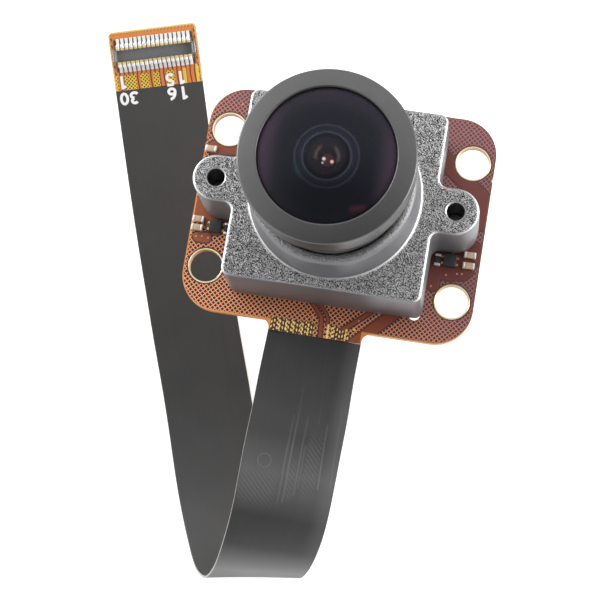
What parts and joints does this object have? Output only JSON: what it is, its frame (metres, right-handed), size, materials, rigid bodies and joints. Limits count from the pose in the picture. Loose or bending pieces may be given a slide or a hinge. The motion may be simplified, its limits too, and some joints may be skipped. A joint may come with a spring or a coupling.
{
  "type": "camera module",
  "caption": "Wide-angle camera module: a fisheye lens in a square die-cast holder with screw ears, on a small drilled circuit board, with a folded flat flex tail ending in a plug.",
  "frame": {"origin": "centre of the rectangle of board mounting holes, on the board's front face, which is also the optical axis", "axes": "+Z along the optical axis, out of the lens; +X across the ears; +Y away from the flex tail's exit"},
  "size_m": [0.0364, 0.0489, 0.0366],
  "materials": {
    "cast_metal": "bead-blasted die casting",
    "black_anodised": "black anodised, turned",
    "black_anodised_matte": "black anodised, matte",
    "coated_glass": "optical glass with a dark purple-blue coating",
    "black_rubber": "smooth",
    "filter_glass": "optical flat",
    "black_plastic": "moulded, matte",
    "solder": "bright solder",
    "silicon": "polished silicon",
    "copper_flex": "amber film over hatched copper",
    "amber_laminate": "amber film laminate",
    "gold_plate": "gold plated",
    "steel_screw": "machined steel",
    "tan_ceramic": "fired ceramic",
    "black_film": "satin black film",
    "grey_plastic": "moulded, satin"
  },
  "bodies": {
    "root": {"lens_holder": "cast_metal", "lens_barrel": "black_anodised", "front_ring": "black_anodised_matte", "front_element": "coated_glass", "front_seal": "black_rubber", "second_element": "coated_glass", "spacer_ring": "black_anodised", "third_element": "coated_glass", "aperture_stop": "black_anodised", "doublet_crown": "coated_glass", "doublet_flint": "coated_glass", "rear_spacer": "black_anodised", "rear_element": "coated_glass", "rear_retainer": "black_anodised", "infrared_filter": "filter_glass", "sensor_carrier": "black_plastic", "sensor_solder": "solder", "sensor_die": "silicon", "sensor_frame": "black_plastic", "sensor_cover_glass": "filter_glass", "circuit_board": "copper_flex", "board_stiffener": "amber_laminate", "hole_plating": "gold_plate", "holder_screws": "steel_screw", "capacitors": "tan_ceramic", "resistors": "black_plastic", "chip_terminals": "solder", "driver_chips": "black_plastic", "driver_leads": "gold_plate", "memory_chip": "black_plastic", "flex_tail": "black_film", "plug_stiffener": "amber_laminate", "plug_housing": "grey_plastic", "plug_contacts": "gold_plate", "plug_solder": "solder"}
  },
  "joints": []
}
